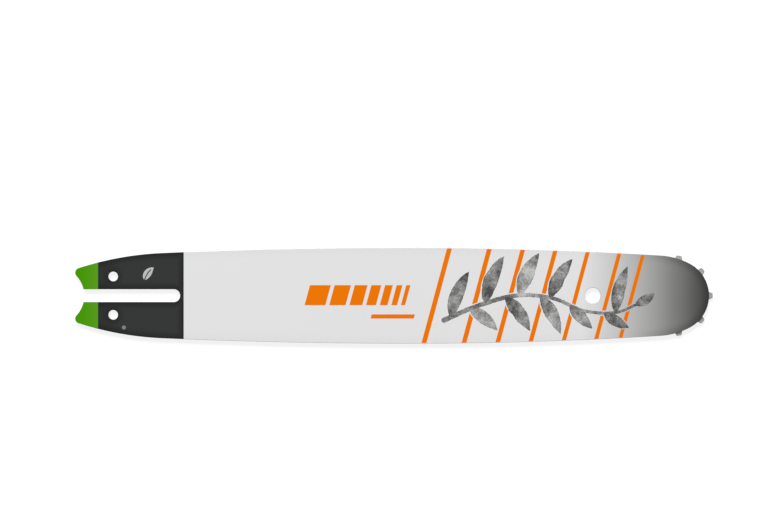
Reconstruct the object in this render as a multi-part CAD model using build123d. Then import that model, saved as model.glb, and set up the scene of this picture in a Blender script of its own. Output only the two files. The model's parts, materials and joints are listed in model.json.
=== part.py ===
from build123d import *
import math
import os

# Outline, from the tail tip (x = 0) along the axis to the nose rim
bar_length = 396.2
widest_from_tail = 210.5
nose_radius = 22.6
shoulder_rise = 2.0  # how much higher the belly is than the nose circle, above the nose axis
shoulder_radius = 45.0
front_taper = 5.35  # drop of the belly from its widest point to the nose axis
rear_taper = 6.0  # drop of the belly from its widest point to the tail tip
tail_radius = 197.0
tail_corner = 3.0
notch_radius = 18.1
notch_depth = 5.65

# Laminated stack
side_plate_thickness = 1.3
groove_width = 1.4
groove_depth = 6.3
rim_chamfer = 0.25

# Openings for the saw's stud and chain tensioner, and for hanging the bar up
slot_width = 8.0
slot_end_from_tail = 65.6
tension_hole_diameter = 6.0
tension_hole_spacing = 24.0
tension_hole_from_tail = 23.75
hang_hole_diameter = 9.9
hang_hole_from_nose_centre = 50.0

# Core plate
oil_channel_width = 2.0
window_count = 6
window_rim = 6.0
window_web = 8.0
window_corner = 4.0
window_margin = 14.0  # solid steel left beside the slot's end and the hanging hole
pocket_clearance = 1.0

# Nose sprocket
sprocket_setback = 0.4  # from the centre of the nose curve back to the sprocket's axis
tooth_count = 9
tooth_standout = 2.35  # past the nose rim, at the tip of the bar
tooth_width = 4.7  # across the tooth, level with the nose rim
tooth_flank_lean = 20.5  # degrees
tooth_tip_round = 0.7
gullet_radius = 2.0
sprocket_bore_diameter = 23.2

# Roller bearing in the sprocket
roller_count = 25
roller_gap = 0.15
radial_clearance = 0.05
side_clearance = 0.06

# Sizes worked out from those above
half_height = nose_radius + shoulder_rise + front_taper
nose_centre = Vector(bar_length - nose_radius, 0)
sprocket_axis = nose_centre - Vector(sprocket_setback, 0)
rim_from_axis = nose_radius + sprocket_setback
tooth_tip_radius = rim_from_axis + tooth_standout
overall_length = sprocket_axis.X + tooth_tip_radius
stack_thickness = 2 * side_plate_thickness + groove_width
front_belly_run = nose_centre.X - widest_from_tail
front_belly_radius = (front_belly_run**2 + front_taper**2) / (2 * front_taper)
rear_belly_radius = (widest_from_tail**2 + rear_taper**2) / (2 * rear_taper)
front_belly_centre = Vector(widest_from_tail, half_height - front_belly_radius)
rear_belly_centre = Vector(widest_from_tail, half_height - rear_belly_radius)
notch_centre = Vector(notch_depth - notch_radius, 0)
running_thickness = groove_width - 2 * side_clearance
roller_share = math.sin(math.pi / roller_count)
roller_race_radius = sprocket_bore_diameter / 2 - radial_clearance
roller_diameter = (2 * roller_race_radius * roller_share - roller_gap) / (1 + roller_share)
roller_circle_radius = roller_race_radius - roller_diameter / 2
hub_radius = roller_circle_radius - roller_diameter / 2 - radial_clearance


# Plane geometry for the outline

def circles_meet(first, first_radius, second, second_radius, side):
    # side is 1 for the point on the left of the line from the first centre to the second, -1 for the right
    span = second - first
    along = (first_radius**2 - second_radius**2 + span.length**2) / (2 * span.length)
    across = math.sqrt(first_radius**2 - along**2)
    ahead = span.normalized()
    return first + ahead * along + Vector(-ahead.Y, ahead.X) * across * side


def on_circle(centre, radius, toward):
    return centre + (toward - centre).normalized() * radius


def arc_about(centre, radius, start, end):
    bisector = (start - centre).normalized() + (end - centre).normalized()
    return ThreePointArc(start, centre + bisector.normalized() * radius, end)


def below(point):
    return Vector(point.X, -point.Y)


def belly_height(x, inset):
    centre = rear_belly_centre if x < widest_from_tail else front_belly_centre
    radius = half_height - centre.Y - inset
    return centre.Y + math.sqrt(radius**2 - (x - widest_from_tail) ** 2)


# The upper edge is a chain of tangent arcs: tail corner, tail, rear belly, front belly, shoulder and nose
corner_height = math.sqrt((notch_radius + tail_corner) ** 2 - (tail_corner - notch_centre.X) ** 2)
corner_centre = Vector(tail_corner, corner_height)
tail_centre = circles_meet(
    rear_belly_centre, rear_belly_radius - tail_radius, corner_centre, tail_radius - tail_corner, -1
)
shoulder_centre = circles_meet(
    front_belly_centre, front_belly_radius - shoulder_radius, nose_centre, shoulder_radius - nose_radius, 1
)
notch_end = on_circle(notch_centre, notch_radius, corner_centre)
tail_start = tail_centre + (corner_centre - tail_centre).normalized() * tail_radius
tail_end = on_circle(rear_belly_centre, rear_belly_radius, tail_centre)
widest_point = Vector(widest_from_tail, half_height)
shoulder_start = on_circle(front_belly_centre, front_belly_radius, shoulder_centre)
shoulder_end = shoulder_centre + (nose_centre - shoulder_centre).normalized() * shoulder_radius
nose_tip = Vector(bar_length, 0)


def plate_outline():
    upper = [
        arc_about(corner_centre, tail_corner, notch_end, tail_start),
        arc_about(tail_centre, tail_radius, tail_start, tail_end),
        arc_about(rear_belly_centre, rear_belly_radius, tail_end, widest_point),
        arc_about(front_belly_centre, front_belly_radius, widest_point, shoulder_start),
        arc_about(shoulder_centre, shoulder_radius, shoulder_start, shoulder_end),
        arc_about(nose_centre, nose_radius, shoulder_end, nose_tip),
    ]
    lower = [edge.mirror(Plane.XZ) for edge in upper]
    notch = arc_about(notch_centre, notch_radius, notch_end, below(notch_end))
    return make_face([*upper, *lower, notch])


def stud_slot():
    end_centre = slot_end_from_tail - slot_width / 2
    straight = Pos(end_centre / 2, 0) * Rectangle(end_centre, slot_width)
    return straight + Pos(end_centre, 0) * Circle(slot_width / 2)


def through_holes():
    tension_row = Pos(tension_hole_from_tail, 0) * GridLocations(0, tension_hole_spacing, 1, 2)
    tension = Sketch() + tension_row * Circle(tension_hole_diameter / 2)
    hang = Pos(nose_centre.X - hang_hole_from_nose_centre, 0) * Circle(hang_hole_diameter / 2)
    return tension + hang


def side_plate():
    profile = plate_outline() - stud_slot() - through_holes()
    plate = extrude(profile, side_plate_thickness)
    outer_face = plate.faces().sort_by(Axis.Z)[-1]
    return chamfer(outer_face.edges(), rim_chamfer)


# Core plate, set back from the edge so that the side plates make the chain groove

def core_outline():
    tail_inner = tail_radius - groove_depth
    rear_inner = rear_belly_radius - groove_depth
    front_inner = front_belly_radius - groove_depth
    start = on_circle(tail_centre, tail_inner, tail_start)
    rear_start = on_circle(tail_centre, tail_inner, tail_end)
    widest = widest_point - Vector(0, groove_depth)
    front_end = Vector(nose_centre.X, belly_height(nose_centre.X, groove_depth))
    # The groove runs out straight through the tail
    outward = (start - tail_centre).normalized()
    run_out = start + Vector(-outward.Y, outward.X) * (start.X / outward.Y)
    upper = [
        Line(run_out, start),
        arc_about(tail_centre, tail_inner, start, rear_start),
        arc_about(rear_belly_centre, rear_inner, rear_start, widest),
        arc_about(front_belly_centre, front_inner, widest, front_end),
    ]
    lower = [edge.mirror(Plane.XZ) for edge in upper]
    ends = [Line(run_out, below(run_out)), Line(front_end, below(front_end))]
    return make_face([*upper, *lower, *ends])


def oil_channels():
    length = half_height - tension_hole_spacing / 2
    channels = Sketch()
    for side in (1, -1):
        centre = Pos(tension_hole_from_tail, side * (tension_hole_spacing + length) / 2)
        channels += centre * Rectangle(oil_channel_width, length)
    return channels


def core_windows():
    first = slot_end_from_tail + window_margin
    last = nose_centre.X - hang_hole_from_nose_centre - hang_hole_diameter / 2 - window_margin
    pitch = (last - first + window_web) / window_count
    windows = Sketch()
    for index in range(window_count):
        rear = first + index * pitch
        front = rear + pitch - window_web
        rear_corner = Vector(rear, belly_height(rear, groove_depth + window_rim))
        front_corner = Vector(front, belly_height(front, groove_depth + window_rim))
        corners = [rear_corner, front_corner, below(front_corner), below(rear_corner)]
        window = make_face(Polyline(*corners, close=True))
        windows += fillet(window.vertices(), window_corner)
    return windows


def core_plate():
    notch = Pos(notch_centre) * Circle(notch_radius)
    pocket = Pos(sprocket_axis) * Circle(tooth_tip_radius + pocket_clearance)
    profile = core_outline() - notch - pocket - stud_slot() - through_holes()
    profile = profile - oil_channels() - core_windows()
    return extrude(profile, groove_width)


# Nose sprocket on its roller bearing, both centred on the sprocket's axis

def gullet():
    # The space between two teeth: a round bottom that runs tangent into both flanks
    lean = math.radians(tooth_flank_lean)
    half_pitch = math.pi / tooth_count
    reach = gullet_radius + rim_from_axis * math.sin(lean) + tooth_width / 2 * math.cos(lean)
    centre = reach / math.sin(half_pitch + lean)
    opening = half_pitch + lean
    foot = Vector(centre + gullet_radius * -math.sin(opening), gullet_radius * math.cos(opening))
    flank = Vector(math.cos(opening), math.sin(opening)) * 2 * tooth_tip_radius
    sides = [foot, foot + flank, below(foot + flank), below(foot)]
    return make_face(Polyline(*sides, close=True)) + Pos(centre, 0) * Circle(gullet_radius)


def nose_sprocket():
    profile = Circle(tooth_tip_radius)
    half_pitch_degrees = 180 / tooth_count
    for index in range(tooth_count):
        profile -= Rot(0, 0, (2 * index + 1) * half_pitch_degrees) * gullet()
    tips = profile.vertices().filter_by(lambda point: math.hypot(point.X, point.Y) > rim_from_axis)
    profile = fillet(tips, tooth_tip_round)
    return extrude(profile - Circle(sprocket_bore_diameter / 2), running_thickness)


def bearing_hub():
    return extrude(Circle(hub_radius), groove_width)


def bearing_roller():
    return extrude(Circle(roller_diameter / 2), running_thickness)


# Every piece in its place, the bar lying flat with its origin under its middle
bar_frame = Pos(-overall_length / 2, 0, 0)
nose_frame = bar_frame * Pos(sprocket_axis.X, 0, side_plate_thickness)
running_frame = nose_frame * Pos(0, 0, side_clearance)
flipped = Pos(0, 0, side_plate_thickness) * Rot(180, 0, 0)

pieces = {
    "side_plate_back": bar_frame * flipped * side_plate(),
    "core_plate": bar_frame * Pos(0, 0, side_plate_thickness) * core_plate(),
    "side_plate_front": bar_frame * Pos(0, 0, side_plate_thickness + groove_width) * side_plate(),
    "bearing_hub": nose_frame * bearing_hub(),
    "nose_sprocket": running_frame * nose_sprocket(),
}
for index in range(roller_count):
    around = Rot(0, 0, index * 360 / roller_count) * Pos(roller_circle_radius, 0, 0)
    pieces[f"bearing_roller_{index + 1:02d}"] = running_frame * around * bearing_roller()

os.makedirs("parts", exist_ok=True)
for name, piece in pieces.items():
    export_step(piece, f"parts/{name}.step")
print("pieces", len(pieces), "overall", round(overall_length, 2), round(2 * half_height, 2), stack_thickness)
print("roller diameter", round(roller_diameter, 3), "hub radius", round(hub_radius, 3))
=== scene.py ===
import json
import math

import bmesh
import bpy
from mathutils import Color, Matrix, Vector, kdtree, noise
from mathutils.geometry import delaunay_2d_cdt


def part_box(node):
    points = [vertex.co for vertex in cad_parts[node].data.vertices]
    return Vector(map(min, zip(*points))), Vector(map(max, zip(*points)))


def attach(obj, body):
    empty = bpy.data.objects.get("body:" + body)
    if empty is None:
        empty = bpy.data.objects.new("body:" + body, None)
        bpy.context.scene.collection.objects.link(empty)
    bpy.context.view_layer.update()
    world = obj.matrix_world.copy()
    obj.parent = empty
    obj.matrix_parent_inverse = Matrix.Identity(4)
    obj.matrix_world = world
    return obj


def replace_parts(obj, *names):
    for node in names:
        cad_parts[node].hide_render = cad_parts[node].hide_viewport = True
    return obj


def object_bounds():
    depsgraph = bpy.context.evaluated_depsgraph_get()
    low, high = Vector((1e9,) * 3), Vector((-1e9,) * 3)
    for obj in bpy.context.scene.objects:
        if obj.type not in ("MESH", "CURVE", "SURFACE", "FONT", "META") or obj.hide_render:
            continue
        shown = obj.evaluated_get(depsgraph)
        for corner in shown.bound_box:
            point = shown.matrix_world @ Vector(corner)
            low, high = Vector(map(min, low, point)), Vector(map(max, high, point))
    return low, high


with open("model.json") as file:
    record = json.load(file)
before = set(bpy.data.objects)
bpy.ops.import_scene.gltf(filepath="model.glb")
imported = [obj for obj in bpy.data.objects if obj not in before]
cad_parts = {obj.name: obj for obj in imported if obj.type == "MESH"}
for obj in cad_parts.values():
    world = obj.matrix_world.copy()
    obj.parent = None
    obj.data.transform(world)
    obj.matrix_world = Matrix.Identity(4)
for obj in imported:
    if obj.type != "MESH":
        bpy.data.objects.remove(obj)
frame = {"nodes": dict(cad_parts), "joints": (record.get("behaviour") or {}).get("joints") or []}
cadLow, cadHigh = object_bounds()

mm = 0.001  # metres
scene = bpy.context.scene
scene.view_settings.view_transform = "Standard"
spinJoint = next(joint for joint in frame["joints"] if joint["name"] == "nose_sprocket_spin")
spinAxis = Vector(spinJoint["pos_m"])
print("frame loaded with", len(frame["nodes"]), "nodes")


# Outline of the bar in millimetres: x from the tail tip, y from the long axis, z from the underside
bar = {
    "length": 396.2,
    "widestFromTail": 210.5,
    "noseRadius": 22.6,
    "shoulderRise": 2.0,  # of the belly over the nose circle, at the nose centre
    "shoulderRadius": 45.0,
    "frontTaper": 5.35,  # drop of the belly from its widest point to the nose centre
    "rearTaper": 6.0,  # and to the tail tip
    "tailRadius": 197.0,
    "tailCorner": 3.0,
    "notchRadius": 18.1,
    "notchDepth": 5.65,
    "slotWidth": 8.0,
    "slotEnd": 65.6,
    "tensionHole": 6.0,
    "tensionSpacing": 24.0,
    "tensionFromTail": 23.75,
    "hangHole": 9.9,
    "hangFromNose": 50.0,
    "sprocketSetback": 0.4,  # from the centre of the nose curve back to the sprocket's axis
    "chordSag": 0.002,  # how far a chord may leave its arc
    "longestChord": 4.0,
    "fewestChords": 4,
}


def circlesMeet(first, firstRadius, second, secondRadius, side):  # side 1 is the left, seen from first
    span = second - first
    along = (firstRadius**2 - secondRadius**2 + span.length_squared) / (2 * span.length)
    across = math.sqrt(firstRadius**2 - along**2)
    ahead = span.normalized()
    return first + ahead * along + Vector((-ahead.y, ahead.x)) * across * side


def onCircle(centre, radius, toward):
    return centre + (toward - centre).normalized() * radius


def flipped(point):
    return Vector((point.x, -point.y))


def arcPoints(centre, start, end):  # from start up to, but without, end
    radius = (start - centre).length
    startAngle = math.atan2(start.y - centre.y, start.x - centre.x)
    endAngle = math.atan2(end.y - centre.y, end.x - centre.x)
    turn = (endAngle - startAngle + math.pi) % (2 * math.pi) - math.pi
    # A chord sags by its square over 8 radii
    chord = min(math.sqrt(8 * radius * bar["chordSag"]), bar["longestChord"])
    count = max(bar["fewestChords"], math.ceil(abs(turn) * radius / chord))
    angles = [startAngle + turn * step / count for step in range(count)]
    return [centre + Vector((math.cos(angle), math.sin(angle))) * radius for angle in angles]


def linePoints(start, end):  # from start up to, but without, end
    count = math.ceil((end - start).length / bar["longestChord"])
    return [start.lerp(end, step / count) for step in range(count)]


def circleLoop(centre, radius):
    right = centre + Vector((radius, 0))
    top = centre + Vector((0, radius))
    left = centre - Vector((radius, 0))
    bottom = centre - Vector((0, radius))
    corners = [right, top, left, bottom, right]
    return [point for start, end in zip(corners, corners[1:]) for point in arcPoints(centre, start, end)]


halfHeight = bar["noseRadius"] + bar["shoulderRise"] + bar["frontTaper"]
noseCentre = Vector((bar["length"] - bar["noseRadius"], 0))
sprocketAxis = noseCentre - Vector((bar["sprocketSetback"], 0))
frontRun = noseCentre.x - bar["widestFromTail"]
frontRadius = (frontRun**2 + bar["frontTaper"] ** 2) / (2 * bar["frontTaper"])
rearRadius = (bar["widestFromTail"] ** 2 + bar["rearTaper"] ** 2) / (2 * bar["rearTaper"])
frontCentre = Vector((bar["widestFromTail"], halfHeight - frontRadius))
rearCentre = Vector((bar["widestFromTail"], halfHeight - rearRadius))
notchCentre = Vector((bar["notchDepth"] - bar["notchRadius"], 0))
cornerReach = bar["notchRadius"] + bar["tailCorner"]
cornerY = math.sqrt(cornerReach**2 - (bar["tailCorner"] - notchCentre.x) ** 2)
cornerCentre = Vector((bar["tailCorner"], cornerY))
tailInner = bar["tailRadius"] - bar["tailCorner"]
tailCentre = circlesMeet(rearCentre, rearRadius - bar["tailRadius"], cornerCentre, tailInner, -1)
shoulderInner = bar["shoulderRadius"] - bar["noseRadius"]
shoulderCentre = circlesMeet(frontCentre, frontRadius - bar["shoulderRadius"], noseCentre, shoulderInner, 1)

slotHalf = bar["slotWidth"] / 2
slotCentre = Vector((bar["slotEnd"] - slotHalf, 0))
slotMouth = Vector((notchCentre.x + math.sqrt(bar["notchRadius"] ** 2 - slotHalf**2), slotHalf))
notchEnd = onCircle(notchCentre, bar["notchRadius"], cornerCentre)
tailStart = tailCentre + (cornerCentre - tailCentre).normalized() * bar["tailRadius"]
tailEnd = onCircle(rearCentre, rearRadius, tailCentre)
widestPoint = Vector((bar["widestFromTail"], halfHeight))
shoulderStart = onCircle(frontCentre, frontRadius, shoulderCentre)
shoulderEnd = shoulderCentre + (noseCentre - shoulderCentre).normalized() * bar["shoulderRadius"]
noseTip = Vector((bar["length"], 0))
upperArcs = [  # centre, start and end of each arc of the upper edge, tail to nose
    (notchCentre, slotMouth, notchEnd),
    (cornerCentre, notchEnd, tailStart),
    (tailCentre, tailStart, tailEnd),
    (rearCentre, tailEnd, widestPoint),
    (frontCentre, widestPoint, shoulderStart),
    (shoulderCentre, shoulderStart, shoulderEnd),
    (noseCentre, shoulderEnd, noseTip),
]


def plateLoops():  # the outer edge, then the holes
    upper = [point for arc in upperArcs for point in arcPoints(*arc)] + [noseTip]
    lower = [flipped(point) for point in reversed(upper[1:-1])]
    slotTop = slotCentre + Vector((0, slotHalf))
    slotTip = slotCentre + Vector((slotHalf, 0))
    slot = linePoints(flipped(slotMouth), flipped(slotTop))
    slot += arcPoints(slotCentre, flipped(slotTop), slotTip) + arcPoints(slotCentre, slotTip, slotTop)
    loops = [upper + lower + slot + linePoints(slotTop, slotMouth)]
    for side in (1, -1):
        centre = Vector((bar["tensionFromTail"], side * bar["tensionSpacing"] / 2))
        loops.append(circleLoop(centre, bar["tensionHole"] / 2))
    hangCentre = noseCentre - Vector((bar["hangFromNose"], 0))
    loops.append(circleLoop(hangCentre, bar["hangHole"] / 2))
    return loops


# Mesh helpers
meshing = {
    "sharpDegrees": 35,  # edges that turn more than this stay sharp
    "flatNormal": 0.999,
    "rimSteps": 4,  # faces across a rounded edge
    "gridStep": 6.0,  # millimetres between the points inside a flat face
    "gridMargin": 3.0,  # that they keep off its edges
    "tolerance": 0.0001,
}
insideOnly = 1  # keeps the triangles that lie in an outline


def loopArea(loop):
    return sum(here.cross(after) for here, after in zip(loop, loop[1:] + loop[:1])) / 2


def turned(loop, way):  # way 1 is counter-clockwise, -1 clockwise
    return loop if loopArea(loop) * way > 0 else loop[::-1]


def insetLoop(loop, inset):  # moves a loop to its left by inset
    moved = []
    for before, here, after in zip(loop[-1:] + loop[:-1], loop, loop[1:] + loop[:1]):
        coming = (here - before).normalized()
        going = (after - here).normalized()
        side = Vector((-coming.y, coming.x))
        middle = (side + Vector((-going.y, going.x))).normalized()
        moved.append(here + middle * inset / middle.dot(side))
    return moved


def toRow(point, z):  # millimetres on the bar to the frame's metres
    return ((point.x - sprocketAxis.x) * mm + spinAxis.x, point.y * mm + spinAxis.y, z * mm)


def triangulate(outlines, inner=()):  # counter-clockwise outlines, and points inside them
    points, rings = [], []
    for outline in outlines:
        rings.append(list(range(len(points), len(points) + len(outline))))
        points += outline
    points += inner
    filled = delaunay_2d_cdt(points, [], rings, insideOnly, meshing["tolerance"])
    corners, _, parts, sources, _, owners = filled
    return corners, sources, parts, owners


def dropLoose(body):
    loose = [vert for vert in body.verts if not vert.link_faces]
    bmesh.ops.delete(body, geom=loose, context="VERTS")


def gridPoints(edges):  # staggered rows of points, clear of the edges
    step = meshing["gridStep"]
    nearest = kdtree.KDTree(len(edges))
    for index, point in enumerate(edges):
        nearest.insert(point.to_3d(), index)
    nearest.balance()
    right, top = max(point.x for point in edges), max(point.y for point in edges)
    x, y = min(point.x for point in edges), min(point.y for point in edges)
    points = []
    shift = 0.0
    while y < top:
        along = x + shift
        while along < right:
            points.append(Vector((along, y)))
            along += step
        shift = step / 2 - shift
        y += step * math.sin(math.pi / 3)  # height of a triangle with equal sides
    return [point for point in points if nearest.find(point.to_3d())[2] > meshing["gridMargin"]]


def fillCap(body, loops, z):  # loops hold outlines and their verts, the outer edge first and then the holes
    outlines = [outline for outline, _ in loops]
    rim = [vert for _, ring in loops for vert in ring]
    grid = gridPoints([point for outline in outlines for point in outline])
    corners, sources, parts, owners = triangulate(outlines, grid)
    verts = []
    for corner, source in zip(corners, sources):
        onRim = source[0] < len(rim)
        verts.append(rim[source[0]] if onRim else body.verts.new(toRow(corner, z)))
    for part, owner in zip(parts, owners):
        if max(owner) == 0:  # in the outer edge and in no hole
            body.faces.new([verts[index] for index in part])
    dropLoose(body)


def solidFromLoops(loops, profile):  # outer edge and holes; profile is a list of (inset, z)
    body = bmesh.new()
    bottom, top = [], []
    for index, loop in enumerate(loops):
        way = 1 if index == 0 else -1
        ordered = turned(loop, way)
        outlines = [insetLoop(ordered, inset) for inset, _ in profile]
        rings = []
        for outline, (_, z) in zip(outlines, profile):
            rings.append([body.verts.new(toRow(point, z)) for point in outline])
        count = len(ordered)
        for lower, upper in zip(rings, rings[1:]):
            for here in range(count):
                after = (here + 1) % count
                body.faces.new((lower[here], lower[after], upper[after], upper[here]))
        bottom.append((outlines[0][::way], rings[0][::way]))
        top.append((outlines[-1][::way], rings[-1][::way]))
    fillCap(body, bottom, profile[0][1])
    fillCap(body, top, profile[-1][1])
    bmesh.ops.recalc_face_normals(body, faces=body.faces)
    return body


def rimProfile(low, high, lowRound, highRound):  # rounded lower edge, straight side, rounded upper edge
    steps = meshing["rimSteps"]
    quarter = [math.pi / 2 * step / steps for step in range(steps + 1)]
    turns = [(1 - math.sin(angle), 1 - math.cos(angle)) for angle in quarter]
    lower = [(lowRound * fall, low + lowRound * rise) for fall, rise in turns]
    upper = [(highRound * rise, high - highRound * fall) for fall, rise in turns]
    return lower + upper


def isFlat(face):
    return abs(face.normal.z) > meshing["flatNormal"]


def shadeByAngle(body):  # flat faces stay flat, rounded edges turn smoothly
    sharp = math.radians(meshing["sharpDegrees"])
    for face in body.faces:
        face.smooth = True
    for edge in body.edges:
        alike = len({isFlat(face) for face in edge.link_faces}) == 1
        edge.smooth = alike and edge.calc_face_angle(0) < sharp


def addPiece(name, body, materials, rideOn):
    shadeByAngle(body)
    mesh = bpy.data.meshes.new(name)
    body.to_mesh(mesh)
    body.free()
    for material in materials:
        mesh.materials.append(material)
    piece = bpy.data.objects.new(name, mesh)
    scene.collection.objects.link(piece)
    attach(piece, rideOn)
    return piece


# Shader helpers
screenWhite = 255
noiseMiddle = 0.5  # of a noise's values
mixSockets = {"FLOAT": (0, 2, 3, 0), "RGBA": (0, 6, 7, 2)}  # share, first, second and result


def addNode(tree, kind, inputs=None, **settings):
    made = tree.nodes.new(kind)
    for name, value in settings.items():
        setattr(made, name, value)
    for name, value in (inputs or {}).items():
        if isinstance(value, bpy.types.NodeSocket):
            tree.links.new(value, made.inputs[name])
        else:
            made.inputs[name].default_value = value
    return made


def maths(tree, operation, first, second=0.0, clamp=False):
    made = addNode(tree, "ShaderNodeMath", {0: first, 1: second}, operation=operation, use_clamp=clamp)
    return made.outputs["Value"]


def mapRange(tree, value, fromLow, fromHigh, toLow, toHigh, kind="LINEAR"):
    inputs = {"Value": value, "From Min": fromLow, "From Max": fromHigh, "To Min": toLow, "To Max": toHigh}
    return addNode(tree, "ShaderNodeMapRange", inputs, interpolation_type=kind).outputs["Result"]


def mixed(tree, sort, share, first, second, **settings):
    shareAt, firstAt, secondAt, resultAt = mixSockets[sort]
    inputs = {shareAt: share, firstAt: first, secondAt: second}
    return addNode(tree, "ShaderNodeMix", inputs, data_type=sort, **settings).outputs[resultAt]


def choose(tree, test, first, second):  # second where the test is 1
    return mixed(tree, "FLOAT", test, first, second)


def mixColours(tree, share, first, second, kind="MIX"):
    return mixed(tree, "RGBA", share, first, second, blend_type=kind)


def timesTone(tree, colour, tone):  # a colour times a grey value
    return mixColours(tree, 1.0, colour, tone, "MULTIPLY")


def linear(red, green, blue):  # screen colour, 0 to 255, to scene colour
    screen = Color((red, green, blue)) / screenWhite
    return (*screen.from_srgb_to_scene_linear(), 1.0)


def colourRamp(tree, value, stops):  # stops are (place from 0 to 1, screen colour)
    ramp = addNode(tree, "ShaderNodeValToRGB", {0: value})
    elements = ramp.color_ramp.elements
    while len(elements) < len(stops):
        elements.new(1.0)
    for element, (place, screen) in zip(elements, stops):
        element.position = place
        element.color = linear(*screen)
    return ramp.outputs["Color"]


def noiseAt(tree, vector, scale, detail=2.0, roughness=0.5):  # swings about zero
    inputs = {"Vector": vector, "Scale": scale, "Detail": detail, "Roughness": roughness}
    return maths(tree, "SUBTRACT", addNode(tree, "ShaderNodeTexNoise", inputs).outputs["Fac"], noiseMiddle)


def hypotenuse(tree, first, second):
    firstSquare = maths(tree, "MULTIPLY", first, first)
    secondSquare = maths(tree, "MULTIPLY", second, second)
    return maths(tree, "SQRT", maths(tree, "ADD", firstSquare, secondSquare))


def newGroup(name, inputs, outputs):
    group = bpy.data.node_groups.new(name, "ShaderNodeTree")
    for label, value in inputs.items():
        socket = group.interface.new_socket(name=label, in_out="INPUT", socket_type="NodeSocketFloat")
        socket.default_value = value
    for label in outputs:
        group.interface.new_socket(name=label, in_out="OUTPUT", socket_type="NodeSocketFloat")
    return group, addNode(group, "NodeGroupInput").outputs, addNode(group, "NodeGroupOutput").inputs


# Surface groups: sprayed paint, ground steel, and a point's place on the bar
paintSurface = {  # noises are features per metre, detail and roughness
    "drift": (34.0, 3.0, 0.5),
    "speck": (2600.0, 1.0, 0.5),
    "speckShare": 0.6,  # of the drift
    "peel": (900.0, 2.0, 0.4),
    "roughnessSwing": 0.14,
}
steelSurface = {
    "lineStretch": (60.0, 260.0, 9000.0),  # grinding lines that run along the bar
    "lines": (1.0, 3.0, 0.6),
    "blotch": (150.0, 3.0, 0.5),
    "grain": (3200.0, 2.0, 0.5),
    "roughnessSwing": 0.2,
}
skinInputs = {"Drift": 0.1, "Roughness": 0.4}
skinOutputs = ("Tone", "Roughness", "Height")


def buildPaintSkin():  # soft tone drift, fine orange peel, uneven gloss
    group, given, out = newGroup("paintSkin", skinInputs, skinOutputs)
    place = addNode(group, "ShaderNodeTexCoord").outputs["Object"]
    drift = noiseAt(group, place, *paintSurface["drift"])
    speck = noiseAt(group, place, *paintSurface["speck"])
    speckTone = maths(group, "MULTIPLY", speck, paintSurface["speckShare"])
    swing = maths(group, "MULTIPLY", maths(group, "ADD", drift, speckTone), given["Drift"])
    sheen = maths(group, "MULTIPLY", drift, paintSurface["roughnessSwing"])
    group.links.new(maths(group, "ADD", 1.0, swing), out["Tone"])
    group.links.new(maths(group, "ADD", given["Roughness"], sheen), out["Roughness"])
    group.links.new(noiseAt(group, place, *paintSurface["peel"]), out["Height"])
    return group


def buildSteelSkin():  # grinding lines, blotchy sheen, fine grain
    group, given, out = newGroup("steelSkin", skinInputs, skinOutputs)
    place = addNode(group, "ShaderNodeTexCoord").outputs["Object"]
    stretch = {0: place, 1: steelSurface["lineStretch"]}
    drawn = addNode(group, "ShaderNodeVectorMath", stretch, operation="MULTIPLY").outputs["Vector"]
    lines = noiseAt(group, drawn, *steelSurface["lines"])
    blotch = noiseAt(group, place, *steelSurface["blotch"])
    grain = noiseAt(group, place, *steelSurface["grain"])
    swing = maths(group, "ADD", lines, maths(group, "ADD", blotch, grain))
    sheen = maths(group, "MULTIPLY", swing, steelSurface["roughnessSwing"])
    group.links.new(maths(group, "ADD", 1.0, maths(group, "MULTIPLY", swing, given["Drift"])), out["Tone"])
    group.links.new(maths(group, "ADD", given["Roughness"], sheen), out["Roughness"])
    group.links.new(lines, out["Height"])
    return group


def buildBarPlace():  # millimetres ahead of the nose curve's centre, and aside from the long axis
    group, _, out = newGroup("barPlace", {}, ("Ahead", "Aside"))
    place = addNode(group, "ShaderNodeTexCoord").outputs["Object"]
    split = addNode(group, "ShaderNodeSeparateXYZ", {0: place}).outputs
    noseX, noseY, _ = toRow(noseCentre, 0)
    group.links.new(maths(group, "DIVIDE", maths(group, "SUBTRACT", split["X"], noseX), mm), out["Ahead"])
    group.links.new(maths(group, "DIVIDE", maths(group, "SUBTRACT", split["Y"], noseY), mm), out["Aside"])
    return group


paintSkin = buildPaintSkin()
steelSkin = buildSteelSkin()
barPlace = buildBarPlace()
print("shader groups built")


# Material helpers

def newMaterial(name, skinGroup, finish):  # returns the tree and a function that lays a colour on
    material = bpy.data.materials.new(name)
    material.use_nodes = True
    tree = material.node_tree
    shader = tree.nodes["Principled BSDF"].inputs
    shader["Metallic"].default_value = finish["metallic"]
    shader["Specular IOR Level"].default_value = finish["specular"]
    skin = addNode(tree, "ShaderNodeGroup", node_tree=skinGroup)
    skin.inputs["Drift"].default_value = finish["drift"]
    skin.inputs["Roughness"].default_value = finish["roughness"]
    bump = {"Height": skin.outputs["Height"], "Distance": finish["depth"], "Strength": finish["strength"]}
    tree.links.new(addNode(tree, "ShaderNodeBump", bump).outputs["Normal"], shader["Normal"])
    tree.links.new(skin.outputs["Roughness"], shader["Roughness"])

    def layColour(colour):
        tree.links.new(timesTone(tree, colour, skin.outputs["Tone"]), shader["Base Color"])
        return material
    return tree, layColour


def placeOnBar(tree):  # millimetres ahead of the nose curve's centre, and off the long axis
    place = addNode(tree, "ShaderNodeGroup", node_tree=barPlace).outputs
    return place["Ahead"], maths(tree, "ABSOLUTE", place["Aside"])


def insideArc(tree, ahead, fromAxis, centre, radius):  # millimetres inside an arc of the bar's edge
    across = maths(tree, "SUBTRACT", ahead, centre.x - noseCentre.x)
    height = maths(tree, "SUBTRACT", fromAxis, centre.y)
    return maths(tree, "SUBTRACT", radius, hypotenuse(tree, across, height))


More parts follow.
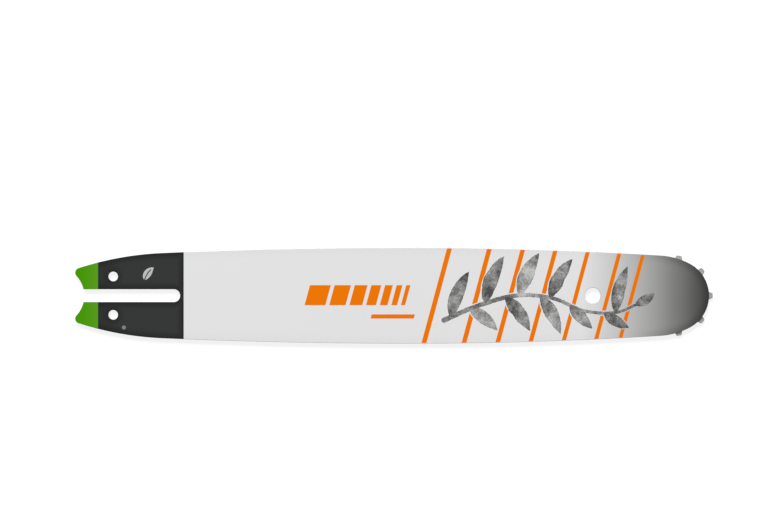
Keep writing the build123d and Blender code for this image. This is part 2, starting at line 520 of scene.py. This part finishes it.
paintBase = {"metallic": 0.0, "depth": 0.00002, "strength": 0.25}  # depth in metres
steelBase = {"metallic": 1.0, "specular": 0.5, "depth": 0.00001, "strength": 0.3}


# Bar lacquer: pale body that fades to a warm smoke grey at the nose, with painted shade along the rim
lacquer = {
    "finish": paintBase | {"drift": 0.012, "roughness": 0.42, "specular": 0.12},
    "fade": (  # millimetres from the centre of the nose curve, screen colour
        (-57, (225, 225, 225)), (-46, (212, 212, 212)), (-26, (184, 184, 183)), (-11, (156, 156, 154)),
        (0, (126, 126, 124)), (14, (85, 85, 83)), (22.6, (58, 58, 56)),
    ),
    "rimWidth": 6.4,
    "rimPaintedShade": (0.03, 0.36),  # how much painted shade darkens the rim along the body and round the nose
    "rimReach": (-30.0, 15.0),  # where the one turns into the other
    "rimArcs": (  # where each arc of the edge ends towards the nose, its centre and radius
        (shoulderEnd, shoulderCentre, bar["shoulderRadius"]),
        (shoulderStart, frontCentre, frontRadius),
        (widestPoint, rearCentre, rearRadius),
    ),
}


def buildLacquer():
    tree, layColour = newMaterial("barLacquer", paintSkin, lacquer["finish"])
    ahead, fromAxis = placeOnBar(tree)
    first, last = lacquer["fade"][0][0], lacquer["fade"][-1][0]
    stops = [((place - first) / (last - first), screen) for place, screen in lacquer["fade"]]
    fade = colourRamp(tree, mapRange(tree, ahead, first, last, 0.0, 1.0), stops)
    fromRim = insideArc(tree, ahead, fromAxis, noseCentre, bar["noseRadius"])
    for end, centre, radius in lacquer["rimArcs"]:
        behind = maths(tree, "LESS_THAN", ahead, end.x - noseCentre.x)
        fromRim = choose(tree, behind, fromRim, insideArc(tree, ahead, fromAxis, centre, radius))
    # Painted shade: darker within rimWidth of the bar's edge, weak along the body and strongest round the
    # nose
    rim = mapRange(tree, fromRim, 0.0, lacquer["rimWidth"], 1.0, 0.0, "SMOOTHSTEP")
    depth = mapRange(tree, ahead, *lacquer["rimReach"], *lacquer["rimPaintedShade"], "SMOOTHSTEP")
    shade = maths(tree, "SUBTRACT", 1.0, maths(tree, "MULTIPLY", depth, rim))
    return layColour(timesTone(tree, fade, shade))


# Black tail paint with painted shade near its edges, slot and holes, deeper in tone towards the tip, and
# green on the tip
tailPaint = {
    "finish": paintBase | {"drift": 0.1, "roughness": 0.5, "specular": 0.1},
    "greenEnd": 14.33,  # millimetres from the tail tip
    "blackEnd": 67.85,
    "black": linear(45, 46, 46),
    "edgeShadeTone": 0.38,
    "edgeWidth": 4.5,
    "holeCore": 2.2,  # smaller than a hole, so that the painted shade at its edge is less deep
    "tipTone": 0.72,
    "tipReach": (15.0, 34.0),  # millimetres from the tail tip where the deeper tone ends
    "greenFinish": paintBase | {"drift": 0.06, "roughness": 0.45, "specular": 0.04},
    "greens": (linear(68, 149, 0), linear(84, 151, 26)),  # at the tip and beside the black
    "greenReach": (5.0, 13.0),
}


def buildTailBlack():
    tree, layColour = newMaterial("tailBlack", paintSkin, tailPaint["finish"])
    ahead, fromAxis = placeOnBar(tree)
    fromTail = maths(tree, "ADD", ahead, noseCentre.x)
    slotAhead = maths(tree, "MAXIMUM", maths(tree, "SUBTRACT", fromTail, slotCentre.x), 0.0)
    fromSlot = maths(tree, "SUBTRACT", hypotenuse(tree, slotAhead, fromAxis), slotHalf)
    holeAhead = maths(tree, "SUBTRACT", fromTail, bar["tensionFromTail"])
    holeAside = maths(tree, "SUBTRACT", fromAxis, bar["tensionSpacing"] / 2)
    fromHole = maths(tree, "SUBTRACT", hypotenuse(tree, holeAhead, holeAside), tailPaint["holeCore"])
    fromEdge = insideArc(tree, ahead, fromAxis, tailCentre, bar["tailRadius"])
    nearest = maths(tree, "SUBTRACT", tailPaint["blackEnd"], fromTail)
    for distance in (fromSlot, fromHole, fromEdge):
        nearest = maths(tree, "MINIMUM", nearest, distance)
    # Painted shade: the black darkens within edgeWidth of the edges, the slot, the holes and the border
    # with the lacquer
    edgeShade = mapRange(tree, nearest, 0.0, tailPaint["edgeWidth"], tailPaint["edgeShadeTone"], 1.0)
    tipShade = mapRange(tree, fromTail, *tailPaint["tipReach"], tailPaint["tipTone"], 1.0, "SMOOTHSTEP")
    return layColour(timesTone(tree, tailPaint["black"], maths(tree, "MULTIPLY", edgeShade, tipShade)))


def buildTailGreen():
    tree, layColour = newMaterial("tailGreen", paintSkin, tailPaint["greenFinish"])
    ahead, _ = placeOnBar(tree)
    fromTail = maths(tree, "ADD", ahead, noseCentre.x)
    share = mapRange(tree, fromTail, *tailPaint["greenReach"], 0.0, 1.0)
    return layColour(mixColours(tree, share, *tailPaint["greens"]))


# Watery grey of the brush strokes: cloudy, darker where the wash pools at edges and ends
wash = {
    "finish": paintBase | {"drift": 0.06, "roughness": 0.55, "specular": 0.1},
    "greys": ((0.0, (70, 70, 69)), (0.5, (138, 138, 137)), (1.0, (194, 194, 193))),  # full to thin wash
    "cloud": (105.0, 2.1),  # features per metre, strength
    "blot": (440.0, 0.65),
    "grain": (1200.0, 1.15),
    "middle": 0.41,
    "pooling": 0.24,
    "edgeFrom": 0.78,  # share of the half width where the darker edge sets in
}
strokeValues = ("across", "pool", "tint")  # kept at each point of a brush stroke


def buildGreyWash():
    tree, layColour = newMaterial("greyWash", paintSkin, wash["finish"])
    place = addNode(tree, "ShaderNodeTexCoord").outputs["Object"]
    level = wash["middle"]
    for name in ("cloud", "blot", "grain"):
        scale, strength = wash[name]
        level = maths(tree, "ADD", level, maths(tree, "MULTIPLY", noiseAt(tree, place, scale), strength))
    across, pool, tint = (
        addNode(tree, "ShaderNodeAttribute", attribute_name=name).outputs["Fac"] for name in strokeValues
    )
    edge = mapRange(tree, maths(tree, "ABSOLUTE", across), wash["edgeFrom"], 1.0, 0.0, 1.0, "SMOOTHSTEP")
    drawn = maths(tree, "MULTIPLY", maths(tree, "MAXIMUM", edge, pool), wash["pooling"])
    thinness = maths(tree, "SUBTRACT", maths(tree, "ADD", level, tint), drawn, clamp=True)
    return layColour(colourRamp(tree, thinness, wash["greys"]))


# Plain inks and steels
paints = {
    "orangeInk": {"colour": linear(236, 117, 0), "drift": 0.05, "roughness": 0.5, "specular": 0.03},
    "paleInk": {"colour": linear(186, 187, 186), "drift": 0.05, "roughness": 0.5, "specular": 0.12},
    "dimInk": {"colour": linear(127, 127, 126), "drift": 0.05, "roughness": 0.5, "specular": 0.12},
}
steels = {
    "edgeSteel": {"colour": (0.34, 0.34, 0.345, 1.0), "drift": 0.25, "roughness": 0.3},
    # The flat of the teeth is dull, so that the plate's shadow shows on it
    "toothSteel": {"colour": (0.325, 0.325, 0.322, 1.0), "drift": 0.22, "roughness": 0.4, "metallic": 0.2},
    # The rounded edges and flanks of the teeth are darker, partly as punched steel and partly as painted
    # shade on the bevel
    "flankSteelAndShade": {"colour": (0.16, 0.16, 0.158, 1.0), "drift": 0.3, "roughness": 0.36},
    "coreSteel": {"colour": (0.36, 0.36, 0.36, 1.0), "drift": 0.35, "roughness": 0.42},
    "bearingSteel": {"colour": (0.62, 0.62, 0.63, 1.0), "drift": 0.1, "roughness": 0.16},
}


def buildPlain(name, skinGroup, finish):
    _, layColour = newMaterial(name, skinGroup, finish)
    return layColour(finish["colour"])


finishes = {
    "barLacquer": buildLacquer(),
    "tailBlack": buildTailBlack(),
    "tailGreen": buildTailGreen(),
    "greyWash": buildGreyWash(),
}
for name, finish in paints.items():
    finishes[name] = buildPlain(name, paintSkin, paintBase | finish)
for name, finish in steels.items():
    finishes[name] = buildPlain(name, steelSkin, steelBase | finish)
print("materials built:", ", ".join(finishes))


# Side plates with the painted tail
sidePlate = {
    "outerRound": 0.25,
    "grooveRound": 0.08,
    "paintedFrom": 0.3,  # how far a face must look outward to take paint
    "finishes": ("barLacquer", "tailBlack", "tailGreen", "edgeSteel"),
}


def sidePlatePiece(name, node, outward):
    low, high = (corner.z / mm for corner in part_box(node))
    lowRound, highRound = sidePlate["grooveRound"], sidePlate["outerRound"]
    if outward < 0:
        lowRound, highRound = highRound, lowRound
    body = solidFromLoops(plateLoops(), rimProfile(low, high, lowRound, highRound))
    borders = [toRow(Vector((tailPaint[end], 0)), 0) for end in ("blackEnd", "greenEnd")]
    for border in borders:
        everything = body.verts[:] + body.edges[:] + body.faces[:]
        bmesh.ops.bisect_plane(body, geom=everything, plane_co=border, plane_no=(1, 0, 0))
    body.normal_update()
    bare = sidePlate["finishes"].index("edgeSteel")
    for face in body.faces:
        # Zones count from the nose: lacquer, black, green
        zone = sum(face.calc_center_median().x < border[0] for border in borders)
        painted = face.normal.z * outward > sidePlate["paintedFrom"]
        face.material_index = zone if painted else bare
    materials = [finishes[finish] for finish in sidePlate["finishes"]]
    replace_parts(addPiece(name, body, materials, "bar"), node)


sidePlatePiece("painted_plate_front", "side_plate_front", 1)
sidePlatePiece("painted_plate_back", "side_plate_back", -1)
print("side plates built")


# Nose sprocket
sprocket = {
    "toothCount": 9,
    "toothStandout": 2.35,
    "toothWidth": 4.7,  # level with the nose rim
    "flankLean": 20.5,
    "tipRound": 0.7,
    "gulletRadius": 2.0,
    "bore": 23.2,
    "edgeRound": 0.3,
    "finishes": ("toothSteel", "flankSteelAndShade"),
}


def toothEdge():  # half a tooth about the x axis, from the middle of its tip down to the gullet's bottom
    lean = math.radians(sprocket["flankLean"])
    halfPitch = math.pi / sprocket["toothCount"]
    rim = bar["noseRadius"] + bar["sprocketSetback"]
    tip = rim + sprocket["toothStandout"]
    flankPoint = Vector((rim, sprocket["toothWidth"] / 2))
    outward = Vector((math.cos(lean), -math.sin(lean)))
    away = Vector((math.sin(lean), math.cos(lean)))
    gulletReach = (sprocket["gulletRadius"] + flankPoint.dot(away)) / math.sin(halfPitch + lean)
    bisector = Vector((math.cos(halfPitch), math.sin(halfPitch)))
    gulletCentre = bisector * gulletReach
    gulletFoot = gulletCentre - away * sprocket["gulletRadius"]
    gulletBottom = gulletCentre - bisector * sprocket["gulletRadius"]
    base = flankPoint - away * sprocket["tipRound"]
    along = base.dot(outward)
    run = -along + math.sqrt(along**2 - base.length_squared + (tip - sprocket["tipRound"]) ** 2)
    roundCentre = base + outward * run
    roundStart = roundCentre.normalized() * tip
    roundEnd = roundCentre + away * sprocket["tipRound"]
    points = arcPoints(Vector((0, 0)), Vector((tip, 0)), roundStart)
    points += arcPoints(roundCentre, roundStart, roundEnd) + [roundEnd]
    return points + arcPoints(gulletCentre, gulletFoot, gulletBottom) + [gulletBottom]


def sprocketPiece():
    half = toothEdge()
    tooth = [flipped(point) for point in reversed(half[1:-1])] + half
    loop = []
    for index in range(sprocket["toothCount"]):
        turn = 2 * math.pi * index / sprocket["toothCount"]
        ahead = Vector((math.cos(turn), math.sin(turn)))
        aside = Vector((-math.sin(turn), math.cos(turn)))
        loop += [sprocketAxis + ahead * point.x + aside * point.y for point in tooth]
    low, high = (corner.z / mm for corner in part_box("nose_sprocket"))
    bore = circleLoop(sprocketAxis, sprocket["bore"] / 2)
    body = solidFromLoops([loop, bore], rimProfile(low, high, sprocket["edgeRound"], sprocket["edgeRound"]))
    for face in body.faces:
        face.material_index = sprocket["finishes"].index("toothSteel" if isFlat(face) else "flankSteelAndShade")
    materials = [finishes[finish] for finish in sprocket["finishes"]]
    piece = addPiece("toothed_sprocket", body, materials, "sprocket")
    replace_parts(piece, "nose_sprocket")


sprocketPiece()
print("sprocket built")


# Print on the front plate, thin films that keep off the plate's edge and holes
ink = {
    "film": 0.012,
    "sink": 0.03,  # how far a film reaches down into the plate
    "edgeMargin": 0.3,
}
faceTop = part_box("side_plate_front")[1].z / mm
plateEdge, *plateHoles = (turned(loop, 1) for loop in plateLoops())
printLimit = insetLoop(plateEdge, ink["edgeMargin"])


def thicken(body):  # flat faces become films that end inside the plate
    depth = Vector((0, 0, ink["film"] + ink["sink"])) * mm
    faces = body.faces[:]
    rim = [edge.verts[:] for edge in body.edges if edge.is_boundary]
    lowered = {vert: body.verts.new(vert.co - depth, vert) for vert in body.verts[:]}
    for face in faces:
        body.faces.new([lowered[vert] for vert in reversed(face.verts)])
    for here, after in rim:
        body.faces.new((after, here, lowered[here], lowered[after]))
    bmesh.ops.recalc_face_normals(body, faces=body.faces)


def printFilm(name, loops, cutters, finish):  # the loops, less what the cutters cover
    outlines = [turned(loop, 1) for loop in loops + [printLimit] + plateHoles + cutters]
    corners, _, parts, owners = triangulate(outlines)
    limit = len(loops)
    body = bmesh.new()
    verts = [body.verts.new(toRow(corner, faceTop + ink["film"])) for corner in corners]
    for part, owner in zip(parts, owners):
        if min(owner) < limit == max(owner):  # in a loop and in the limit, but in no hole or cutter
            body.faces.new([verts[index] for index in part])
    dropLoose(body)
    thicken(body)
    addPiece(name, body, [finishes[finish]], "bar")


# Grey sprig of brushed leaves
sprig = {
    "stem": ((229, -16), (250, -7), (275, 0), (298, -1.5), (318, -9.5), (338, -10.5), (352, -5)),
    "stemWidth": (3.2, 1.6),  # at the foot and at the top
    "stemTint": 0.1,
    "leaves": (  # place along the stem, angle, bend in degrees, length, width, tint
        (0.05, 80, -24, 31, 8.6, 0.16),
        (0.15, -26, -24, 22, 8.0, 0.28),
        (0.23, 82, -28, 32, 9.0, 0.02),
        (0.33, -43, -22, 26, 8.4, -0.04),
        (0.40, 78, -26, 29, 9.0, 0.26),
        (0.50, -53, -18, 27, 8.2, 0.18),
        (0.55, 72, -24, 28, 8.6, -0.06),
        (0.65, -50, 8, 20, 7.4, 0.10),
        (0.88, 86, -22, 30, 8.0, 0.06),
        (0.82, -38, 16, 18, 6.8, -0.04),
        (0.985, 24, 14, 14, 6.0, 0.04),
    ),
    "footPower": 0.7,  # a leaf fills out from its foot and runs to a point at its tip
    "tipPower": 0.9,
    "poolShare": 0.25,  # share of a stroke at each end where the wash pools
    "gap": 0.65,  # bare lacquer left beside a stroke
    "step": 0.4,
    "finest": 0.08,  # half width at the very end of a stroke
    "ragged": (1.3, 0.3),  # run in millimetres, depth
    "swelling": (6.0, 0.14),  # run in millimetres, share of the half width
    "strokeStep": 9.1,  # how far apart the noise of two strokes lies
    "sideStep": 5.0,
    "overlap": 0.001,  # each stroke lies a hair above the one before
}


def throughPoints(points, step):  # a smooth path through the points
    points = [Vector(point) for point in points]
    padded = [2 * points[0] - points[1]] + points + [2 * points[-1] - points[-2]]
    path = []
    for before, start, end, after in zip(padded, padded[1:], padded[2:], padded[3:]):
        count = math.ceil((end - start).length / step)
        slope = end - before  # these three are twice a cubic curve's coefficients
        bend = 2 * before - 5 * start + 4 * end - after
        twist = 3 * start - before - 3 * end + after
        for index in range(count):
            share = index / count
            path.append(start + (slope * share + bend * share**2 + twist * share**3) / 2)
    return path + [points[-1]]


def leafPath(base, angle, bend, length):
    count = math.ceil(length / sprig["step"])
    path = [base]
    for index in range(count):
        heading = math.radians(angle + bend * index / count)
        path.append(path[-1] + Vector((math.cos(heading), math.sin(heading))) * length / count)
    return path


def leafShare(along):  # share of a leaf's half width, from its foot at 0 to its tip at 1
    fullest = sprig["footPower"] / (sprig["footPower"] + sprig["tipPower"])
    footShare = (along / fullest) ** sprig["footPower"]
    tipShare = ((1 - along) / (1 - fullest)) ** sprig["tipPower"]
    return footShare * tipShare


def stemHalves(count):  # tapers to the top, with a round brush mark at the foot
    foot, top = (width / 2 for width in sprig["stemWidth"])
    halves = []
    for index in range(count):
        short = max(0.0, 1 - index * sprig["step"] / foot)
        halves.append((foot + (top - foot) * index / (count - 1)) * math.sqrt(1 - short**2))
    return halves


def leafStroke(foot, angle, bend, length, width):  # path and half widths
    path = leafPath(foot, angle, bend, length)
    shares = [leafShare(index / (len(path) - 1)) for index in range(len(path))]
    return path, [width / 2 * share for share in shares]


def sprigStrokes():  # path, half widths and tint of every stroke
    stem = throughPoints(sprig["stem"], sprig["step"])
    strokes = [(stem, stemHalves(len(stem)), sprig["stemTint"])]
    for place, *leaf, tint in sprig["leaves"]:
        foot = stem[round(place * (len(stem) - 1))]
        strokes.append((*leafStroke(foot, *leaf), tint))
    return strokes


def headings(path):  # unit vectors along the path
    neighbours = zip(path[:1] + path[:-1], path[1:] + path[-1:])
    return [(after - before).normalized() for before, after in neighbours]


def strokeOutline(path, halves, grow):  # once round a stroke, grown on all sides
    ahead = headings(path)
    path = [path[0] - ahead[0] * grow] + path + [path[-1] + ahead[-1] * grow]
    ahead = ahead[:1] + ahead + ahead[-1:]
    halves = halves[:1] + halves + halves[-1:]
    sides = [Vector((-heading.y, heading.x)) for heading in ahead]
    left = [point + side * (half + grow) for point, side, half in zip(path, sides, halves)]
    right = [point - side * (half + grow) for point, side, half in zip(path, sides, halves)]
    return right + left[::-1]


def brushedHalf(half, run, side, seed):  # half width with the bristles' unevenness
    raggedRun, raggedDepth = sprig["ragged"]
    swellingRun, swellingShare = sprig["swelling"]
    strokePlace = seed * sprig["strokeStep"]
    sidePlace = side * sprig["sideStep"]
    ragged = noise.noise(Vector((run / raggedRun, strokePlace, sidePlace))) * raggedDepth
    swelling = noise.noise(Vector((run / swellingRun, strokePlace, sidePlace))) * half * swellingShare
    return max(half + ragged + swelling, sprig["finest"])


def addStroke(body, seed, path, halves, tint):
    layers = [body.verts.layers.float[name] for name in strokeValues]
    last = len(path) - 1
    high = faceTop + ink["film"] + seed * sprig["overlap"]
    rows = []
    for index, (middle, half, ahead) in enumerate(zip(path, halves, headings(path))):
        pool = max(0.0, 1 - min(index, last - index) / (last * sprig["poolShare"]))
        row = []
        for side in (1, 0, -1):
            reach = side * brushedHalf(half, index * sprig["step"], side, seed)
            vert = body.verts.new(toRow(middle + Vector((-ahead.y, ahead.x)) * reach, high))
            for layer, value in zip(layers, (side, pool, tint)):
                vert[layer] = value
            row.append(vert)
        rows.append(row)
    for here, after in zip(rows, rows[1:]):
        for lane in (0, 1):
            body.faces.new((here[lane], here[lane + 1], after[lane + 1], after[lane]))


def sprigPiece(strokes):
    body = bmesh.new()
    for name in strokeValues:
        body.verts.layers.float.new(name)
    for seed, stroke in enumerate(strokes):
        addStroke(body, seed, *stroke)
    thicken(body)
    addPiece("printed_sprig", body, [finishes["greyWash"]], "bar")


strokes = sprigStrokes()
sprigPiece(strokes)
print("sprig printed with", len(strokes), "strokes")


# Orange lines from edge to edge that stop short of the sprig, and a row of orange blocks
orange = {
    "lean": 0.27,  # sideways shift per height
    "lines": (  # x on the long axis, width
        (226, 3.1), (251, 3.0), (272, 2.9), (292.5, 2.8), (313, 2.6), (333, 2.5), (348, 2.4),
    ),
    "lineHeight": 90.0,  # past both edges of the bar, which trim them
    "blockStart": 145.0,
    "blockMiddle": 0.3,
    "blockHeight": 12.5,
    "blockWidths": (13.0, 10.2, 8.0, 6.2, 4.8, 3.6, 2.6),
    "blockGap": 2.4,
    "underline": (202.0, -13.0, 27.0, 2.6),  # x, height of the middle, width, height
}


def slantedLoop(x, y, width, height):  # a leaning bar; x is where its middle line meets the long axis
    corners = [(-1, -1), (1, -1), (1, 1), (-1, 1)]
    places = [(side * width / 2, y + rise * height / 2) for side, rise in corners]
    return [Vector((x + side + orange["lean"] * high, high)) for side, high in places]


def blockLoops():
    loops = [slantedLoop(*orange["underline"])]
    left = orange["blockStart"]
    for width in orange["blockWidths"]:
        loops.append(slantedLoop(left + width / 2, orange["blockMiddle"], width, orange["blockHeight"]))
        left += width + orange["blockGap"]
    return loops


lineLoops = [slantedLoop(x, 0, width, orange["lineHeight"]) for x, width in orange["lines"]]
strokeGaps = [strokeOutline(path, halves, sprig["gap"]) for path, halves, _ in strokes]
printFilm("printed_lines", lineLoops, strokeGaps, "orangeInk")
printFilm("printed_blocks", blockLoops(), [], "orangeInk")
print("orange print laid on")


# Small marks on the black tail: a pale leaf and a dimmer dot
tailMarks = {
    "leafFoot": (43.4, 9.8),
    "leaf": (74, -42, 9.8, 4.6),  # angle, bend in degrees, length, width
    "tipHalf": 0.06,  # half width at the tip
    "veinHalf": 0.32,
    "veinSteps": 20,  # points of the leaf's middle line, from its foot, that the vein runs along
    "dotCentre": (30.5, -19.9),
    "dotRadius": 1.25,
}


def leafMark():  # outline of a small leaf, and of the vein left bare in it
    path, halves = leafStroke(Vector(tailMarks["leafFoot"]), *tailMarks["leaf"])
    vein = path[: tailMarks["veinSteps"]]
    outline = strokeOutline(path, halves, tailMarks["tipHalf"])
    return outline, strokeOutline(vein, [0.0] * len(vein), tailMarks["veinHalf"])


leafLoop, veinLoop = leafMark()
dotLoop = circleLoop(Vector(tailMarks["dotCentre"]), tailMarks["dotRadius"])
printFilm("printed_leaf", [leafLoop], [veinLoop], "paleInk")
printFilm("printed_dot", [dotLoop], [], "dimInk")
print("tail marks laid on")


# Core plate and bearing

def dressNode(node, finish):  # a CAD node keeps its shape and takes a finish
    for slot in frame["nodes"][node].material_slots:
        slot.material = finishes[finish]


dressNode("core_plate", "coreSteel")
for node in frame["nodes"]:
    if node.startswith("bearing"):
        dressNode(node, "bearingSteel")
print("inner pieces dressed")


# Camera square above the bar, as far off and as wide as the photograph's frame needs
view = {
    "lens": 200.0,
    "sensor": 36.0,
    "frameWidth": 768,  # pixels
    "frameMiddle": (384.0, 256.0),
    "tailTipPixel": (75.14, 295.65),  # the tail tip's x and the long axis's y
    "millimetresPerPixel": 0.625,
}


def addCamera():
    data = bpy.data.cameras.new("camera")
    data.lens = view["lens"]
    data.sensor_width = view["sensor"]
    camera = bpy.data.objects.new("camera", data)
    scene.collection.objects.link(camera)
    right = (view["frameMiddle"][0] - view["tailTipPixel"][0]) * view["millimetresPerPixel"]
    up = (view["tailTipPixel"][1] - view["frameMiddle"][1]) * view["millimetresPerPixel"]
    away = view["frameWidth"] * view["millimetresPerPixel"] * view["lens"] / view["sensor"]
    camera.location = toRow(Vector((right, up)), cadHigh.z / mm + away)
    scene.camera = camera


# Stage in metres: a pale floor, a white surround and a large soft lamp above the bar's upper edge
stage = {
    "floorSize": 9.0,
    "floorDrop": 0.00006,  # below the bar
    "floorTone": 0.2,
    "floorGlow": 0.85,
    "glowReach": (0.3, 0.9),  # how far from the bar's middle the floor's glow grows to white
    "white": (1.0, 1.0, 1.0, 1.0),
    "surround": 0.14,  # light on the bar from all round
    "lampPlace": (-0.75, 3.75, 4.35),
    "lampSize": 2.4,
    "lampWatts": 398.0,
}


def seenRay(tree):  # 1 for rays from the camera, straight, mirrored or through glass
    path = addNode(tree, "ShaderNodeLightPath").outputs
    mirrored = maths(tree, "MAXIMUM", path["Is Glossy Ray"], path["Is Transmission Ray"])
    return maths(tree, "MAXIMUM", path["Is Camera Ray"], mirrored)


def addFloor():
    half = stage["floorSize"] / 2
    low = cadLow.z - stage["floorDrop"]
    mesh = bpy.data.meshes.new("floor")
    corners = [(-half, -half, low), (half, -half, low), (half, half, low), (-half, half, low)]
    mesh.from_pydata(corners, [], [(0, 1, 2, 3)])
    floor = bpy.data.objects.new("floor", mesh)
    scene.collection.objects.link(floor)
    material = bpy.data.materials.new("paleFloor")
    material.use_nodes = True
    tree = material.node_tree
    shader = tree.nodes["Principled BSDF"].inputs
    tone = stage["floorTone"]
    shader["Base Color"].default_value = (tone, tone, tone, 1.0)
    shader["Roughness"].default_value = 1.0
    shader["Specular IOR Level"].default_value = 0.0
    shader["Emission Color"].default_value = stage["white"]
    place = addNode(tree, "ShaderNodeTexCoord").outputs["Object"]
    away = addNode(tree, "ShaderNodeVectorMath", {0: place}, operation="LENGTH").outputs["Value"]
    glow = mapRange(tree, away, *stage["glowReach"], stage["floorGlow"], 1.0, "SMOOTHSTEP")
    tree.links.new(maths(tree, "MULTIPLY", seenRay(tree), glow), shader["Emission Strength"])
    mesh.materials.append(material)


def addSurround():
    world = bpy.data.worlds.new("surround")
    world.use_nodes = True
    scene.world = world
    tree = world.node_tree
    background = tree.nodes["Background"].inputs
    background["Color"].default_value = stage["white"]
    strength = mapRange(tree, seenRay(tree), 0.0, 1.0, stage["surround"], 1.0)
    tree.links.new(strength, background["Strength"])


def addLamp():
    data = bpy.data.lights.new("lamp", "AREA")
    data.size = stage["lampSize"]
    data.energy = stage["lampWatts"]
    lamp = bpy.data.objects.new("lamp", data)
    lamp.location = stage["lampPlace"]
    lamp.rotation_euler = (-lamp.location).to_track_quat("-Z", "Y").to_euler()
    scene.collection.objects.link(lamp)


addCamera()
addFloor()
addSurround()
addLamp()
print("camera and stage set")
